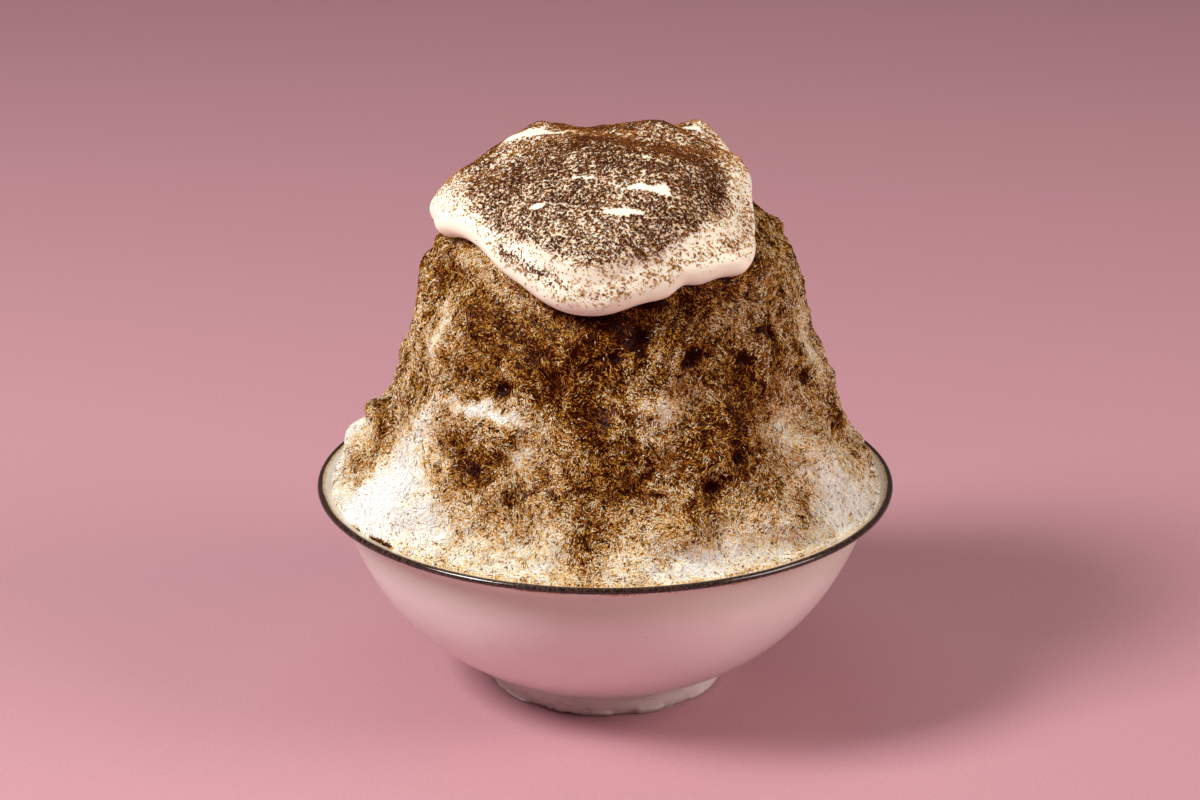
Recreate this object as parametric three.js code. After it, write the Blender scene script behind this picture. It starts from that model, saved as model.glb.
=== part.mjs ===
// A bowl of shaved ice soaked with coffee syrup, under a draped cap of whipped cream.
// Millimetres, +Z up. The origin is the centre of the foot ring's bottom face, and the front faces -Y.
// Azimuths are in degrees, counterclockwise from +X as seen from above, so the front is at 270.
import * as THREE from "three";

// ---- driving dimensions ----

const bowl = {
  segments: 64,
  rimRadius: 80,
  rimHeight: 58.6,
  footRadius: 33.2,
  footHeight: 6,
  footWidth: 4.6, // the foot ring's thickness
  footRound: 0.9, // the radius on the foot ring's edges
  recessDepth: 3.6, // the hollow inside the foot ring
  floorThickness: 4.6,
  innerFloorRadius: 20, // the flat middle of the inside
  wallThickness: [3.4, 2.5], // at the foot and where the lip flares
  lipThickness: 1.8,
  // The outer wall is one cubic curve, from the foot ring to where the lip flares: radius and height of its points.
  wallHandleLow: [63.8, 19.1],
  wallHandleHigh: [70, 43.5],
  wallTop: [74.5, 53],
  // The flare of the lip, below and above: the handle of each quadratic curve.
  flareHandleUnder: [76, 56.2],
  flareHandleOver: [73.7, 57.3],
  wallRows: 7,
  flareRows: 2,
  lipRows: 4,
};

const ice = {
  segments: 96,
  gapToBowl: 0.45,
  // The mound's upright half section, from the crown down to where it meets the bowl's wall: radius, height.
  section: [
    [0, 145.5],
    [14, 144.8],
    [27, 141.8],
    [37.5, 136.8],
    [45.5, 130],
    [50.2, 121],
    [53.6, 110],
    [56.3, 98.5],
    [59.8, 86.5],
    [64.8, 74.5],
    [70.8, 64],
    [74.9, 57.9],
  ],
  rowsUnderCream: 6,
  rowsInTheOpen: 24,
  rowsInTheBowl: 4,
  lean: 2.3, // the mound's middle stands this far to the right of the bowl's axis
  leanHeights: [55, 72], // from none at the rim to all of it
};

// Folds of the mound: azimuth, half width in degrees, height, half height, and how far each stands out or sinks in.
const iceFolds = {
  rightUpperFlat: [3, 20, 112, 8, -2.0],
  leftShoulder: [172, 15, 65, 8.5, 3.2],
  leftCrease: [198, 6, 72, 17, -3.0],
  leftRidge: [216, 12, 70, 18, 1.6],
  frontLedge: [239, 13, 93, 5, 1.5],
  frontHollow: [250, 12, 82, 6, -1.2],
  frontGully: [267, 4.5, 64, 13, -1.6],
  frontRib: [287, 6, 70, 15, 1.3],
  rightCrease: [347, 7, 70, 13, -2.2],
  rightShoulder: [6, 14, 64, 10, 2.4],
  rightShelf: [318, 16, 62, 7, 1.3],
  backRightFold: [42, 9, 78, 16, -2.0],
  backRidge: [78, 14, 84, 18, 1.6],
  backGully: [104, 7, 72, 18, -2.1],
  backLeftRidge: [135, 13, 80, 16, 1.5],
};

// Pits left between the shavings: azimuth, height, radius and depth.
const icePits = {
  leftPit: [239, 100.5, 3.2, 2.4],
  upperPit: [277, 116, 3.4, 1.9],
  middlePit: [293, 111, 4.2, 2.4],
  rightPit: [320, 107, 3.6, 2.0],
  farRightPit: [332, 100, 3.2, 2.2],
  lowerPit: [301, 84, 3.8, 2.0],
  backPit: [58, 104, 3.8, 2.2],
  backLowPit: [124, 92, 3.8, 2.2],
};

// Bumps of the packed shavings, as waves of a given length and height.
const iceBumps = [
  { length: 23, height: 1.0, seed: 1.3 },
  { length: 10.5, height: 0.62, seed: 4.1 },
];
const wavesPerBump = 14;

const cream = {
  segments: 60,
  gapToIce: 0.5,
  edgeRadius: 4.1, // the round edge, half of the cap's thickness there
  crown: 2.5, // how much thicker the middle is
  topRows: 13,
  edgeRows: 6,
  underRows: 8,
  // How far the cap runs over the mound from the crown, measured on the ice, every 20 degrees from azimuth 0.
  reach: [34.5, 34, 35.5, 37.5, 38.5, 39, 40.5, 43, 46.5, 48.6, 47.6, 47, 52.6, 58.8, 55.4, 52.4, 49.6, 38.6],
};

// Knobs, folds and dents on the cap: azimuth, half width in degrees, distance from the crown, half length, height.
const creamFolds = {
  backLeftKnob: [128, 13, 25, 5.5, 2.4],
  backRightPeak: [45, 11, 30, 5.5, 5.4],
  peakRidge: [20, 16, 19, 5, 0.9],
  saddle: [84, 18, 29, 7, -0.9],
  middleWrinkle: [292, 18, 15, 2.6, 0.8],
  frontWrinkle: [270, 12, 24, 2.6, 0.8],
  leftRoll: [190, 14, 40, 6, 0.9],
  rightSwell: [345, 22, 27, 8, 0.9],
};
// Along the front the cap steps down to a shelf before its edge: the step's place is measured in from the edge.
const creamStep = { azimuth: 265, halfWidth: 62, fromEdge: [6.5, 9.5], height: 2 };
const creamWave = { length: 27, height: 0.7, seed: 2.2 };

// ---- curves and fields ----

const radians = THREE.MathUtils.degToRad;

// The signed difference between two azimuths, from -180 to 180 degrees.
function azimuthGap(a, b) {
  return THREE.MathUtils.euclideanModulo(a - b + 180, 360) - 180;
}

function bell(distance, halfWidth) {
  return Math.exp(-((distance / halfWidth) ** 2));
}

// A smooth uneven field: the sum of sine waves of one length, running in directions spread over a sphere.
function bumpField(point, { length, height, seed }) {
  const goldenTurn = Math.PI * (3 - Math.sqrt(5));
  let sum = 0;
  for (let k = 0; k < wavesPerBump; k++) {
    const up = 1 - (2 * k + 1) / wavesPerBump;
    const across = Math.sqrt(1 - up * up);
    const turn = goldenTurn * k + seed;
    const along = point.x * across * Math.cos(turn) + point.y * across * Math.sin(turn) + point.z * up;
    sum += Math.sin((2 * Math.PI * along) / length + seed * (k + 1) * (k + 2));
  }
  return height * sum * Math.sqrt(2 / wavesPerBump);
}

// The mound's smooth section with its arc length, so that a distance from the crown gives a point and a normal.
const sectionCurve = new THREE.SplineCurve(ice.section.map(([r, z]) => new THREE.Vector2(r, z)));
sectionCurve.arcLengthDivisions = 600;
const sectionLength = sectionCurve.getLength();

function onSection(distance) {
  const u = THREE.MathUtils.clamp(distance / sectionLength, 0, 1);
  const point = sectionCurve.getPointAt(u);
  const tangent = sectionCurve.getTangentAt(u);
  return { r: point.x, z: point.y, normalR: -tangent.y, normalZ: tangent.x };
}

// A point that stands off the smooth mound, at a distance from the crown, an azimuth and a height above the surface.
function offMound(distance, azimuth, height) {
  const { r, z, normalR, normalZ } = onSection(distance);
  const radius = r + height * normalR;
  const turn = radians(azimuth);
  const [low, high] = ice.leanHeights;
  const shift = ice.lean * THREE.MathUtils.smoothstep(z, low, high);
  return new THREE.Vector3(radius * Math.cos(turn) + shift, radius * Math.sin(turn), z + height * normalZ);
}

// The cap's reach at an azimuth, by a closed Catmull-Rom curve through the listed values.
function creamReach(azimuth) {
  const count = cream.reach.length;
  const place = (THREE.MathUtils.euclideanModulo(azimuth, 360) / 360) * count;
  const i = Math.floor(place) % count;
  const w = place - Math.floor(place);
  const [a, b, c, d] = [-1, 0, 1, 2].map((k) => cream.reach[(i + k + count) % count]);
  const slopeB = (c - a) / 2;
  const slopeC = (d - b) / 2;
  return (2 * b - 2 * c + slopeB + slopeC) * w ** 3 + (3 * c - 3 * b - 2 * slopeB - slopeC) * w ** 2 + slopeB * w + b;
}

// How far the ice's surface stands from the smooth mound. It is bare and smooth where the cream lies on it.
function iceRelief(distance, azimuth) {
  const base = offMound(distance, azimuth, 0);
  let relief = 0;
  for (const bump of iceBumps) relief += bumpField(base, bump);
  for (const [at, halfWidth, height, halfHeight, depth] of Object.values(iceFolds))
    relief += depth * bell(azimuthGap(azimuth, at), halfWidth) * bell(base.z - height, halfHeight);
  for (const [at, height, radius, depth] of Object.values(icePits)) {
    const across = radians(azimuthGap(azimuth, at)) * Math.hypot(base.x, base.y);
    relief -= depth * bell(Math.hypot(across, base.z - height), radius);
  }
  const reach = creamReach(azimuth);
  const clearOfCream = THREE.MathUtils.smoothstep(distance, reach, reach + 9);
  const clearOfWall = 1 - THREE.MathUtils.smoothstep(distance, sectionLength - 9, sectionLength);
  return relief * clearOfCream * clearOfWall;
}

// ---- surfaces ----

// A closed surface from rows of points: the first and last rows are single points, and every other row is a ring.
function closedRings(rows) {
  const positions = [];
  const starts = rows.map((row) => {
    const start = positions.length / 3;
    for (const p of row) positions.push(p.x, p.y, p.z);
    return start;
  });
  const index = [];
  for (let i = 0; i + 1 < rows.length; i++) {
    const count = Math.max(rows[i].length, rows[i + 1].length);
    const upper = (k) => starts[i] + (rows[i].length === 1 ? 0 : k % count);
    const lower = (k) => starts[i + 1] + (rows[i + 1].length === 1 ? 0 : k % count);
    for (let k = 0; k < count; k++) {
      if (rows[i + 1].length > 1) index.push(upper(k), lower(k), lower(k + 1));
      if (rows[i].length > 1) index.push(upper(k), lower(k + 1), upper(k + 1));
    }
  }
  const geometry = new THREE.BufferGeometry();
  geometry.setAttribute("position", new THREE.Float32BufferAttribute(positions, 3));
  geometry.setIndex(index);
  geometry.computeVertexNormals();
  return geometry;
}

function onAxis(radius, azimuth, z) {
  return new THREE.Vector3(radius * Math.cos(radians(azimuth)), radius * Math.sin(radians(azimuth)), z);
}

function ring(segments, pointAt) {
  return Array.from({ length: segments }, (_, k) => pointAt((k * 360) / segments));
}

// ---- the bowl ----

const lipRadius = bowl.lipThickness / 2;
const lipCentre = new THREE.Vector2(bowl.rimRadius - lipRadius, bowl.rimHeight - lipRadius);
const floorHeight = bowl.recessDepth + bowl.floorThickness;

// A point on a rounded edge, at an angle in degrees about its centre.
function onRound(centre, radius, angle) {
  return new THREE.Vector2(Math.cos(radians(angle)), Math.sin(radians(angle))).multiplyScalar(radius).add(centre);
}

function roundEdge(centre, radius, from, to, rows) {
  return Array.from({ length: rows + 1 }, (_, i) => onRound(centre, radius, THREE.MathUtils.lerp(from, to, i / rows)));
}

const lipFrom = -80; // where the flare's under side meets the lip's round edge
const lipTo = 115; // where its upper side does
const wallTop = new THREE.Vector2(...bowl.wallTop);
const outerWall = new THREE.CubicBezierCurve(
  new THREE.Vector2(bowl.footRadius, bowl.footHeight),
  new THREE.Vector2(...bowl.wallHandleLow),
  new THREE.Vector2(...bowl.wallHandleHigh),
  wallTop,
);
const outerFlare = new THREE.QuadraticBezierCurve(
  wallTop,
  new THREE.Vector2(...bowl.flareHandleUnder),
  onRound(lipCentre, lipRadius, lipFrom),
);

// The inner wall follows the outer one at the wall's thickness.
function innerWallPoint(t) {
  const tangent = outerWall.getTangent(t);
  const thickness = THREE.MathUtils.lerp(...bowl.wallThickness, t);
  return outerWall.getPoint(t).add(new THREE.Vector2(-tangent.y, tangent.x).multiplyScalar(thickness));
}

const innerFlare = new THREE.QuadraticBezierCurve(
  onRound(lipCentre, lipRadius, lipTo),
  new THREE.Vector2(...bowl.flareHandleOver),
  innerWallPoint(1),
);

// The inside of the bowl from the lip down to the edge of its flat floor.
function innerProfile(wallRows) {
  const flare = Array.from({ length: bowl.flareRows }, (_, i) => innerFlare.getPoint((i + 1) / (bowl.flareRows + 1)));
  const wall = Array.from({ length: wallRows }, (_, i) => innerWallPoint(1 - i / wallRows));
  return [...flare, ...wall, new THREE.Vector2(bowl.innerFloorRadius, floorHeight)];
}

function makeBowl() {
  const footInner = bowl.footRadius - bowl.footWidth;
  const round = bowl.footRound;
  const along = (curve, rows) => Array.from({ length: rows }, (_, i) => curve.getPoint(i / rows));
  const profile = [
    new THREE.Vector2(0, bowl.recessDepth),
    new THREE.Vector2(footInner - 1.2, bowl.recessDepth),
    ...roundEdge(new THREE.Vector2(footInner + round, round), round, 180, 270, 2),
    ...roundEdge(new THREE.Vector2(bowl.footRadius - round, round), round, 270, 360, 2),
    ...along(outerWall, bowl.wallRows),
    ...along(outerFlare, bowl.flareRows),
    ...roundEdge(lipCentre, lipRadius, lipFrom, lipTo, bowl.lipRows),
    ...innerProfile(bowl.wallRows - 1),
    new THREE.Vector2(0, floorHeight),
  ];
  const geometry = new THREE.LatheGeometry(profile, bowl.segments).rotateX(Math.PI / 2);
  return new THREE.Mesh(geometry, new THREE.MeshStandardMaterial({ color: 0xece2dc, roughness: 0.22 }));
}

// ---- the ice ----

function makeIce() {
  const rows = [[offMound(0, 0, 0)]];
  const surfaceRing = (distanceAt) =>
    ring(ice.segments, (azimuth) => {
      const distance = distanceAt(azimuth);
      return offMound(distance, azimuth, iceRelief(distance, azimuth));
    });
  for (let i = 1; i <= ice.rowsUnderCream; i++)
    rows.push(surfaceRing((azimuth) => (creamReach(azimuth) * i) / ice.rowsUnderCream));
  for (let i = 1; i <= ice.rowsInTheOpen; i++)
    rows.push(surfaceRing((azimuth) => THREE.MathUtils.lerp(creamReach(azimuth), sectionLength, i / ice.rowsInTheOpen)));
  const inside = innerProfile(ice.rowsInTheBowl).slice(1);
  for (const [i, p] of inside.entries()) {
    const along = new THREE.Vector2().subVectors(inside[Math.min(i + 1, inside.length - 1)], inside[Math.max(i - 1, 0)]);
    const inward = new THREE.Vector2(along.y, -along.x).setLength(ice.gapToBowl);
    rows.push(ring(ice.segments, (azimuth) => onAxis(p.x + inward.x, azimuth, p.y + inward.y)));
  }
  rows.push([onAxis(0, 0, floorHeight + ice.gapToBowl)]);
  return new THREE.Mesh(closedRings(rows), new THREE.MeshStandardMaterial({ color: 0x9a7247, roughness: 0.45 }));
}

// ---- the cream ----

// How far the cap's top stands from its plain crowned form.
function creamRelief(distance, azimuth) {
  const base = offMound(distance, azimuth, cream.gapToIce);
  let relief = bumpField(base, creamWave);
  for (const [at, halfWidth, place, halfLength, height] of Object.values(creamFolds))
    relief += height * bell(azimuthGap(azimuth, at), halfWidth) * bell(distance - place, halfLength);
  const fromEdge = creamReach(azimuth) - distance;
  const front = bell(azimuthGap(azimuth, creamStep.azimuth), creamStep.halfWidth);
  return relief + creamStep.height * front * THREE.MathUtils.smoothstep(fromEdge, ...creamStep.fromEdge);
}

// The cap's section at each azimuth: out over the top, round the thick edge, and back under it, on the ice.
function makeCream() {
  const { gapToIce, edgeRadius, crown, topRows, edgeRows, underRows } = cream;
  const crownPoint = (azimuth) => offMound(0, azimuth, gapToIce + 2 * edgeRadius + crown + creamRelief(0, azimuth));
  const rows = [[crownPoint(0)]];
  for (let i = 1; i <= topRows; i++)
    rows.push(
      ring(cream.segments, (azimuth) => {
        const share = 1 - (1 - i / topRows) ** 1.3;
        const distance = share * (creamReach(azimuth) - edgeRadius);
        const height = gapToIce + 2 * edgeRadius + crown * (1 - share ** 2) + creamRelief(distance, azimuth);
        return offMound(distance, azimuth, height);
      }),
    );
  for (let i = 1; i <= edgeRows; i++)
    rows.push(
      ring(cream.segments, (azimuth) => {
        const turn = radians(THREE.MathUtils.lerp(90, -90, i / edgeRows));
        const distance = creamReach(azimuth) - edgeRadius * (1 - Math.cos(turn));
        const topShare = (1 + Math.sin(turn)) / 2;
        const height = gapToIce + edgeRadius * (1 + Math.sin(turn)) + topShare * creamRelief(distance, azimuth);
        return offMound(distance, azimuth, height);
      }),
    );
  for (let i = underRows - 1; i >= 1; i--)
    rows.push(
      ring(cream.segments, (azimuth) =>
        offMound((creamReach(azimuth) - edgeRadius) * (i / underRows), azimuth, gapToIce),
      ),
    );
  rows.push([offMound(0, 0, gapToIce)]);
  return new THREE.Mesh(closedRings(rows), new THREE.MeshStandardMaterial({ color: 0xf6ede2, roughness: 0.5 }));
}

// ---- the part ----

const part = new THREE.Group();
for (const [name, mesh] of Object.entries({ bowl: makeBowl(), ice: makeIce(), cream: makeCream() })) {
  mesh.name = name;
  part.add(mesh);
}

export default part;
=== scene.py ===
import bpy
import numpy as np
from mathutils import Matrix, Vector


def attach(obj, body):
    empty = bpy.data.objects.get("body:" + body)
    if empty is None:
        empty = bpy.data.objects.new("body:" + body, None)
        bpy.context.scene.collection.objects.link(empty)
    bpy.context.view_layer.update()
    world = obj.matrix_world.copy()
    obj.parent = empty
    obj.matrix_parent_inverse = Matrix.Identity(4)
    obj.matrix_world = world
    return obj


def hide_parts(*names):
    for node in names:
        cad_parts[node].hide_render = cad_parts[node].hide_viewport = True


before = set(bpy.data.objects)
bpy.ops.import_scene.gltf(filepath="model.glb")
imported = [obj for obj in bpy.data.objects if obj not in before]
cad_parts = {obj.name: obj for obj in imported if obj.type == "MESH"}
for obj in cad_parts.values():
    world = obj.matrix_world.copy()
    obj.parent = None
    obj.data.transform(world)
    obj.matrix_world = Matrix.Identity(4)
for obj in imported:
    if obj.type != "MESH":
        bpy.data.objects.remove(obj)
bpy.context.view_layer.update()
mm = 0.001  # every size below is in millimetres

# azimuths are in degrees round the bowl's axis: 0 is to the right and 270 is the front


def bell(distance, halfWidth):
    # 1 in the middle: e to the minus square of the distance over the half width
    return np.exp(-((distance / halfWidth) ** 2))


def smoothStep(value, low, high):
    # 0 at low and 1 at high: three times the square of the share between them, less twice its cube
    w = np.clip((value - low) / (high - low), 0, 1)
    return w * w * (3 - 2 * w)


def turnGap(a, b):
    # the signed difference of two azimuths, from -180 to 180
    return np.mod(a - b + 180, 360) - 180


def unit(vectors):
    # each vector divided by its length
    return vectors / np.maximum(np.linalg.norm(vectors, axis=-1, keepdims=True), 1e-9)


def catmullRom(before, start, end, after, w):
    # one span of a smooth curve: it leaves each end along the line between that end's neighbours
    slopeStart, slopeEnd = (end - before) / 2, (after - start) / 2
    cubic = 2 * start - 2 * end + slopeStart + slopeEnd
    square = 3 * end - 3 * start - 2 * slopeStart - slopeEnd
    return cubic * w**3 + square * w**2 + slopeStart * w + start


def sineField(points, length, height, seed, count=14):
    # an uneven field: the sum of sine waves of one length, in directions spread evenly over a sphere
    total = 0
    for k in range(count):
        up = 1 - (2 * k + 1) / count
        across, turn = np.sqrt(1 - up * up), np.pi * (3 - np.sqrt(5)) * k + seed
        along = points @ np.array([across * np.cos(turn), across * np.sin(turn), up])
        total = total + np.sin(2 * np.pi * along / length + seed * (k + 1) * (k + 2))
    return height * total * np.sqrt(2 / count)


def grainField(points, size, seed):
    # smooth noise from -1 to 1: a random height at each corner of a lattice, blended inside its cells
    place = points / size + seed * 7.31
    cell = np.floor(place).astype(np.int64)
    w = place - cell
    w = w**3 * (w * (w * 6 - 15) + 10)
    total = 0
    for corner in np.ndindex(2, 2, 2):
        # the cell's numbers are stirred into one code, and its low bits are the height
        x, y, z = np.moveaxis(cell + corner, -1, 0)
        code = (x * 73856093) ^ (y * 19349663) ^ (z * 83492791) ^ (seed * 2654435761)
        code = ((code ^ (code >> 13)) * 1274126177) & 0x7FFFFFFF
        value = ((code ^ (code >> 15)) & 0xFFFF) / 32767.5 - 1
        total = total + value * np.prod(np.where(np.array(corner) == 1, w, 1 - w), axis=-1)
    return total


# the forms of the mound and of the cream's edge, which everything that lies on the mound shares

mound = {
    # the half section, from the top to the bowl's lip, as radius and height
    "section": [(0, 145.5), (14, 144.8), (27, 141.8), (37.5, 136.8), (45.5, 130), (50.2, 121), (53.6, 110),
                (56.3, 98.5), (59.8, 86.5), (64.8, 74.5), (70.8, 64), (75, 59.2), (77.9, 58.5)],
    "lean": 2.3,  # the middle stands this far to the right
    "leanHeights": (55, 72),
    "bumps": [(23, 0.9, 1.3), (10.5, 0.46, 4.1)],  # length, height and seed of the waves in the packed ice
    # how far out from the cream's edge the waves and folds rise, and how far from the lip they fade
    "foldsFromCream": (-2, 5),
    "foldsFromLip": (12, 3),
    # size, height and seed of the finer lumps, how low they stay in white ice, and between which syrup levels
    # and how far from the cream's edge they rise
    "crumble": [(5.2, 0.26, 11), (2.4, 0.22, 23), (1.3, 0.16, 31)],
    "crumbleInWhite": 0.1,
    "crumbleLevels": (0.1, 0.4),
    "crumbleFromCream": (-5, -1),
    "brim": 77.9,  # how far out the ice lies on the bowl's lip
    "brimWander": (5, 0.4, 37),  # size, reach and seed of what makes its end uneven
    "brimDip": (1.1, 3),  # over this width at its end it goes down under the glaze, by this much
    "shortOfBrim": [(190, 28, 0.9), (0, 14, 0.9), (90, 60, 1.2)],  # azimuth, half width, and how much less
}
# folds of the mound: azimuth, half width in degrees, height, half height, and how far each stands out
moundFolds = {
    "rightTopFlat": (8, 30, 135, 6, -2.6),
    "rightTopDent": (2, 16, 131, 2.5, -1.0),
    "rightTopFill": (2, 16, 126.5, 2.5, 1.2),
    "rightUpperFlat": (3, 20, 114, 7, -2.8),
    "rightMiddleFlat": (4, 16, 101, 6, -2.0),
    "rightMiddleFill": (2, 14, 92, 2.5, 0.8),
    "rightShelfAbove": (6, 14, 79.5, 2.5, 0.9),
    "leftTopFill": (186, 18, 129, 3, 3.4),
    "leftTopFlat": (184, 20, 124, 3.5, -1.5),
    "leftMiddleFlat": (184, 14, 97, 2.8, -2.4),
    "leftLowerFlat": (182, 13, 84.5, 4, -1.8),
    "leftShelf": (178, 9, 76.4, 3, 4.1),
    "leftShoulder": (172, 15, 64.5, 6.2, 4.7),
    "leftCrease": (198, 6, 72, 17, -3.0),
    "leftRidge": (216, 12, 70, 18, 1.6),
    "frontLedge": (239, 13, 93, 5, 1.5),
    "frontHollow": (250, 12, 82, 6, -1.2),
    "frontGully": (267, 4.5, 64, 13, -1.6),
    "frontRib": (287, 6, 70, 15, 1.3),
    "rightCrease": (347, 7, 70, 13, -2.2),
    "rightShoulder": (3, 13, 65.5, 4, 3.2),
    "rightLowerFlat": (10, 18, 71.5, 3, -4.0),
    "rightShelf": (318, 16, 62, 7, 1.3),
    "backRightFold": (42, 9, 78, 16, -2.0),
    "backRidge": (78, 14, 84, 18, 1.6),
    "backGully": (104, 7, 72, 18, -2.1),
    "backLeftRidge": (135, 13, 80, 16, 1.5),
}
# pits between the shavings: azimuth, height, radius and depth
moundPits = {
    "left": (238, 101, 2.8, 2.5),
    "upper": (277, 116, 3.4, 1.7),
    "middle": (292.5, 111, 3.0, 2.6),
    "narrow": (270, 112, 1.7, 1.8),
    "right": (309, 108, 2.4, 2.2),
    "rightUpper": (322, 112, 2.4, 2.0),
    "farRight": (337, 95.5, 2.7, 2.8),
    "lower": (302, 84, 2.6, 2.0),
    "lowest": (294, 78, 2.4, 1.6),
    "edge": (347, 77, 2.0, 1.4),
    "back": (58, 104, 3.4, 2.2),
    "backLow": (124, 92, 3.4, 2.2),
}
cap = {
    # how far the cream runs from the crown, at even steps of azimuth
    "reach": (34.5, 34, 35.5, 37.5, 38.5, 39, 40.5, 43, 46.5, 48.6, 47.6, 47, 52.6, 58.8, 55.4, 52.4,
              49.6, 38.6),
    "edgeRadius": 4.1,
    "crown": 2.5,
    "gap": 0.5,  # between the cream and the ice
    "wave": (27, 0.7, 2.2),  # length, height and seed
    "softWaves": [(9.5, 0.16, 5.3), (5.2, 0.06, 8.9)],
    "scallop": (13, 0.2, 9.1),  # and those of the wander of its edge
    # where it reaches further, or less: azimuth, half width in degrees, and by how much
    "edges": [(199, 4, 0.8), (290.5, 4, -1.7), (310, 5, 0.8), (326, 8, -1.9), (343, 8, -0.8), (358, 8, -1.0)],
    "segments": 384,
    "topRows": 104,
    "topCrowding": 1.2,  # 1 spaces the top's rows evenly, and more draws them together towards the edge
    "edgeRows": 26,
    "underRows": 20,
}
# knobs, folds and dents of the cream: azimuth, half width in degrees, distance from the crown, half length
# and height
capFolds = {
    "backLeftKnob": (129, 17, 26, 6, 2.6),
    "backLeftRoll": (147, 13, 22, 3, 2.2),
    "backRightKnob": (33, 9, 36, 4.5, 3.2),
    "peakFlank": (62, 8, 30, 5, 1.4),
    "topSwell": (42, 16, 16, 4, 1.1),
    "leftRise": (164, 9, 25, 4, 1.0),
    "rightRoundness": (348, 9, 34, 4, -0.7),
    "rightDip": (16, 8, 38, 5, -1.2),
    "rollCrease": (156, 15, 16, 2.6, -0.9),
    "leftDip": (164, 8, 34, 6, -1.0),
    "backRightPeak": (45, 11, 30, 5.5, 5.4),
    "peakRidge": (20, 16, 19, 5, 0.9),
    "saddle": (84, 18, 29, 7, -0.6),
    "middleWrinkle": (286, 14, 29, 1.8, 0.7),
    "frontWrinkle": (273, 9, 36, 1.6, 0.7),
    "leftRoll": (190, 14, 40, 6, 0.9),
    "rightSwell": (345, 22, 24, 7, 0.6),
    "rightFlat": (333, 16, 42, 9, -1.7),
}
capStep = {"azimuth": 257, "halfWidth": 48, "fromEdge": (6, 10), "height": 2}

# the section as a table of its arc length, its radius and height, and its direction
sectionPoints = np.array(mound["section"], float)
spans = np.linspace(0, len(sectionPoints) - 1, 2400)
spanIndex = np.minimum(spans.astype(int), len(sectionPoints) - 2)
neighbours = [sectionPoints[np.clip(spanIndex + k, 0, len(sectionPoints) - 1)] for k in (-1, 0, 1, 2)]
sectionTable = catmullRom(*neighbours, (spans - spanIndex)[:, None])
sectionSteps = np.linalg.norm(np.diff(sectionTable, axis=0), axis=1)
sectionDistance = np.concatenate([[0], np.cumsum(sectionSteps)])
sectionLength = sectionDistance[-1]
sectionTangent = unit(np.gradient(sectionTable, sectionDistance, axis=0))


def offMound(distance, azimuth, height):
    # a point that stands off the smooth mound: the section at that distance, moved out along its normal,
    # turned to the azimuth, and shifted by the mound's lean
    r, z = (np.interp(distance, sectionDistance, sectionTable[:, k]) for k in (0, 1))
    tangentR, tangentZ = (np.interp(distance, sectionDistance, sectionTangent[:, k]) for k in (0, 1))
    radius = r - height * tangentZ
    turn = np.radians(azimuth)
    shift = mound["lean"] * smoothStep(z, *mound["leanHeights"])
    return np.stack([radius * np.cos(turn) + shift, radius * np.sin(turn), z + height * tangentR], axis=-1)


def capReach(azimuth):
    # how far the cream runs over the mound at an azimuth: a closed smooth curve through the listed values
    reach = np.array(cap["reach"])
    place = np.mod(azimuth, 360) / 360 * len(reach)
    index = np.floor(place).astype(int)
    around = [reach[(index + k) % len(reach)] for k in (-1, 0, 1, 2)]
    return catmullRom(*around, place - index)


def moundRelief(distance, azimuth):
    # how far the ice stands off the smooth mound: waves, and a bell out for each fold and in for each pit,
    # which fade under the cream and at the bowl
    base = offMound(distance, azimuth, 0)
    relief = sum(sineField(base, *bump) for bump in mound["bumps"])
    for at, halfWidth, height, halfHeight, depth in moundFolds.values():
        around, upright = bell(turnGap(azimuth, at), halfWidth), bell(base[..., 2] - height, halfHeight)
        relief = relief + depth * around * upright
    radius = np.hypot(base[..., 0], base[..., 1])
    for at, height, size, depth in moundPits.values():
        across = np.radians(turnGap(azimuth, at)) * radius
        relief = relief - depth * bell(np.hypot(across, base[..., 2] - height), size)
    clearOfCream = smoothStep(distance - capReach(azimuth), *mound["foldsFromCream"])
    fades, gone = mound["foldsFromLip"]
    clearOfWall = 1 - smoothStep(distance, sectionLength - fades, sectionLength - gone)
    return relief * clearOfCream * clearOfWall


def icePoint(distance, azimuth):
    # the ice's surface: the mound with its relief, and lumps of three finer sizes on it, which are lower
    # where the ice is white; where it ends on the bowl's lip it dips under the glaze
    base = offMound(distance, azimuth, 0)
    lumps = sum(height * grainField(base, size, seed) for size, height, seed in mound["crumble"])
    least = mound["crumbleInWhite"]
    lumps = lumps * (least + (1 - least) * smoothStep(stainsAt(azimuth, base)[0], *mound["crumbleLevels"]))
    clearOfCream = smoothStep(distance - capReach(azimuth), *mound["crumbleFromCream"])
    size, wander, seed = mound["brimWander"]
    brim = mound["brim"] + wander * grainField(base, size, seed)
    for at, halfWidth, less in mound["shortOfBrim"]:
        brim = brim - less * bell(turnGap(azimuth, at), halfWidth)
    radius = np.interp(distance, sectionDistance, sectionTable[:, 0])
    width, depth = mound["brimDip"]
    dip = depth * smoothStep(radius, brim - width, brim)
    return offMound(distance, azimuth, moundRelief(distance, azimuth) + lumps * clearOfCream - dip)


def surfaceFrame(surface, distance, azimuth, step=0.35):
    # a point of a surface, its directions down and round, and its outward normal, from small steps both ways
    point = surface(distance, azimuth)
    down = unit(surface(distance + step, azimuth) - point)
    turnStep = np.degrees(step / np.maximum(np.hypot(point[..., 0], point[..., 1]), 1))
    sideways = surface(distance, azimuth + turnStep) - point
    normal = unit(np.cross(down, sideways))
    return point, down, np.cross(normal, down), normal


def strewn(draw, count, rows):
    # random places on the mound, evenly by area: the share of them within a distance is the sum of the ring
    # lengths up to it over the sum of them all
    ringLength = np.interp(rows, sectionDistance, sectionTable[:, 0])
    share = np.cumsum(ringLength) / ringLength.sum()
    return np.interp(draw.random(count), share, rows), draw.random(count) * 360


# meshes from arrays


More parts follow.
